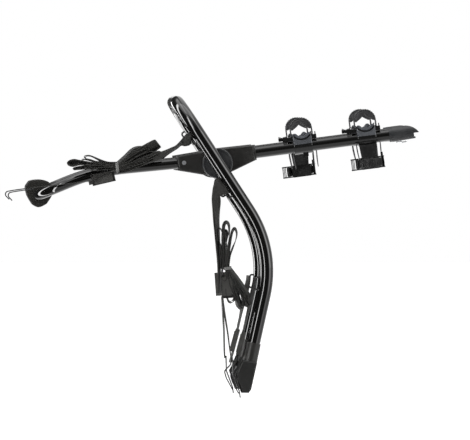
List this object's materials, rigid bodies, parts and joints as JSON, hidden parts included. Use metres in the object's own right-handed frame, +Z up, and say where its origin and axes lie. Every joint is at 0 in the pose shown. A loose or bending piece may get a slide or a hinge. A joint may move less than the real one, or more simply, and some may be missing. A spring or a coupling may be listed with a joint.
{
  "type": "strap-on rear bicycle carrier",
  "caption": "Strap-on rear bicycle carrier: bent steel loop frame on two feet, folding arms with rubber-strapped cradles, folding pad frame and webbing straps.",
  "frame": {"origin": "midway between the contact faces of the two feet", "axes": "+X away from the vehicle, along the arms; +Y to the vehicle's right; +Z up"},
  "size_m": [1.0862, 0.5414, 0.7938],
  "materials": {
    "frame_steel": "gloss black paint",
    "socket_plastic": "satin dark grey",
    "boot_rubber": "satin black rubber",
    "disc_plastic": "satin blue-grey",
    "bolt_steel": "zinc plated",
    "pad_foam": "closed-cell foam",
    "cushion_rubber": "soft rubber",
    "strap_rubber": "moulded rubber",
    "webbing": "woven polypropylene",
    "buckle_plastic": "satin grey",
    "hook_steel": "coated steel"
  },
  "bodies": {
    "frame": {"main_frame_tube": "frame_steel", "foot_collar_left": "socket_plastic", "foot_collar_right": "socket_plastic", "foot_boot_left": "boot_rubber", "foot_boot_right": "boot_rubber", "hub_disc_left": "disc_plastic", "hub_disc_right": "disc_plastic", "hub_bolts": "bolt_steel", "side_strap_left": "webbing", "side_strap_right": "webbing", "lower_strap_left": "webbing", "lower_strap_right": "webbing", "leg_buckles": "buckle_plastic", "leg_hooks": "hook_steel"},
    "pad_frame": {"pad_frame_tube": "frame_steel", "pad_socket_left": "socket_plastic", "pad_socket_right": "socket_plastic", "pad_rivets": "bolt_steel", "foam_pad_left": "pad_foam", "foam_pad_right": "pad_foam", "upper_strap_left": "webbing", "upper_strap_right": "webbing", "pad_buckles": "buckle_plastic", "upper_hooks": "hook_steel"},
    "arm_left": {"arm_socket_left": "socket_plastic", "arm_tube_left": "frame_steel", "arm_rivet_left": "bolt_steel", "end_cap_left": "disc_plastic", "lock_loop_left": "bolt_steel", "cradle_inner_left": "disc_plastic", "cushion_inner_left": "cushion_rubber", "strap_tails_inner_left": "strap_rubber"},
    "sway_left": {"cradle_outer_left": "disc_plastic", "cushion_outer_left": "cushion_rubber", "strap_tails_outer_left": "strap_rubber", "sway_arm_left": "disc_plastic"},
    "strap_inner_left": {"cradle_strap_inner_left": "strap_rubber"},
    "strap_outer_left": {"cradle_strap_outer_left": "strap_rubber"},
    "strap_sway_left": {"sway_strap_left": "strap_rubber"},
    "arm_right": {"arm_socket_right": "socket_plastic", "arm_tube_right": "frame_steel", "arm_rivet_right": "bolt_steel", "end_cap_right": "disc_plastic", "lock_loop_right": "bolt_steel", "cradle_outer_right": "disc_plastic", "cushion_outer_right": "cushion_rubber", "strap_tails_outer_right": "strap_rubber"},
    "sway_right": {"cradle_inner_right": "disc_plastic", "cushion_inner_right": "cushion_rubber", "strap_tails_inner_right": "strap_rubber", "sway_arm_right": "disc_plastic"},
    "strap_outer_right": {"cradle_strap_outer_right": "strap_rubber"},
    "strap_inner_right": {"cradle_strap_inner_right": "strap_rubber"},
    "strap_sway_right": {"sway_strap_right": "strap_rubber"},
    "lever_upper_left": {"cam_lever_upper_left": "buckle_plastic"},
    "lever_upper_right": {"cam_lever_upper_right": "buckle_plastic"},
    "lever_side_left": {"cam_lever_side_left": "buckle_plastic"},
    "lever_side_right": {"cam_lever_side_right": "buckle_plastic"},
    "lever_lower_left": {"cam_lever_lower_left": "buckle_plastic"},
    "lever_lower_right": {"cam_lever_lower_right": "buckle_plastic"}
  },
  "joints": [
    {"name": "pad_frame_fold", "type": "hinge", "parent": "frame", "child": "pad_frame", "pos_m": [-0.053, 0, 0.577], "axis": [0, 1, 0], "range_deg": [-80, 40], "deforming": ["upper_strap_left", "upper_strap_right"]},
    {"name": "arm_fold_left", "type": "hinge", "parent": "frame", "child": "arm_left", "pos_m": [-0.053, -0.145, 0.577], "axis": [0, 1, 0], "range_deg": [-12, 70]},
    {"name": "sway_swivel_left", "type": "hinge", "parent": "arm_left", "child": "sway_left", "pos_m": [0.34372, -0.145, 0.64365], "axis": [0.9917, 0, 0.1288], "range_deg": [-10, 35]},
    {"name": "strap_open_inner_left", "type": "hinge", "parent": "arm_left", "child": "strap_inner_left", "pos_m": [0.13895, -0.145, 0.64025], "axis": [0, -1, 0], "range_deg": [0, 78]},
    {"name": "strap_open_outer_left", "type": "hinge", "parent": "sway_left", "child": "strap_outer_left", "pos_m": [0.30754, -0.145, 0.66214], "axis": [0, -1, 0], "range_deg": [0, 78]},
    {"name": "strap_open_sway_left", "type": "hinge", "parent": "sway_left", "child": "strap_sway_left", "pos_m": [0.31906, -0.1625, 0.57339], "axis": [0.1288, 0, -0.9917], "range_deg": [0, 78]},
    {"name": "arm_fold_right", "type": "hinge", "parent": "frame", "child": "arm_right", "pos_m": [-0.053, 0.145, 0.577], "axis": [0, 1, 0], "range_deg": [-12, 70]},
    {"name": "sway_swivel_right", "type": "hinge", "parent": "arm_right", "child": "sway_right", "pos_m": [0.17514, 0.145, 0.62176], "axis": [-0.9917, 0, -0.1288], "range_deg": [-10, 35]},
    {"name": "strap_open_outer_right", "type": "hinge", "parent": "arm_right", "child": "strap_outer_right", "pos_m": [0.30754, 0.145, 0.66214], "axis": [0, -1, 0], "range_deg": [0, 78]},
    {"name": "strap_open_inner_right", "type": "hinge", "parent": "sway_right", "child": "strap_inner_right", "pos_m": [0.13895, 0.145, 0.64025], "axis": [0, -1, 0], "range_deg": [0, 78]},
    {"name": "strap_open_sway_right", "type": "hinge", "parent": "sway_right", "child": "strap_sway_right", "pos_m": [0.15048, 0.1625, 0.55149], "axis": [-0.1288, 0, 0.9917], "range_deg": [0, 78]},
    {"name": "cam_upper_left", "type": "hinge", "parent": "pad_frame", "child": "lever_upper_left", "pos_m": [-0.37251, -0.2056, 0.53423], "axis": [0.225, 0, -0.9744], "range_deg": [0, 55], "stiffness_Nm_per_rad": 0.08, "springref_deg": -11.46},
    {"name": "cam_upper_right", "type": "hinge", "parent": "pad_frame", "child": "lever_upper_right", "pos_m": [-0.37251, 0.2056, 0.53423], "axis": [-0.225, 0, 0.9744], "range_deg": [0, 55], "stiffness_Nm_per_rad": 0.08, "springref_deg": -11.46},
    {"name": "cam_side_left", "type": "hinge", "parent": "frame", "child": "lever_side_left", "pos_m": [-0.03033, -0.24, 0.27195], "axis": [-0.9976, 0, -0.0698], "range_deg": [0, 55], "stiffness_Nm_per_rad": 0.08, "springref_deg": -11.46},
    {"name": "cam_side_right", "type": "hinge", "parent": "frame", "child": "lever_side_right", "pos_m": [-0.03033, 0.24, 0.27195], "axis": [0.9976, 0, 0.0698], "range_deg": [0, 55], "stiffness_Nm_per_rad": 0.08, "springref_deg": -11.46},
    {"name": "cam_lower_left", "type": "hinge", "parent": "frame", "child": "lever_lower_left", "pos_m": [0.01292, -0.229, 0.12135], "axis": [0, 1, 0], "range_deg": [0, 55], "stiffness_Nm_per_rad": 0.08, "springref_deg": -11.46},
    {"name": "cam_lower_right", "type": "hinge", "parent": "frame", "child": "lever_lower_right", "pos_m": [0.01292, 0.229, 0.12135], "axis": [0, 1, 0], "range_deg": [0, 55], "stiffness_Nm_per_rad": 0.08, "springref_deg": -11.46}
  ]
}
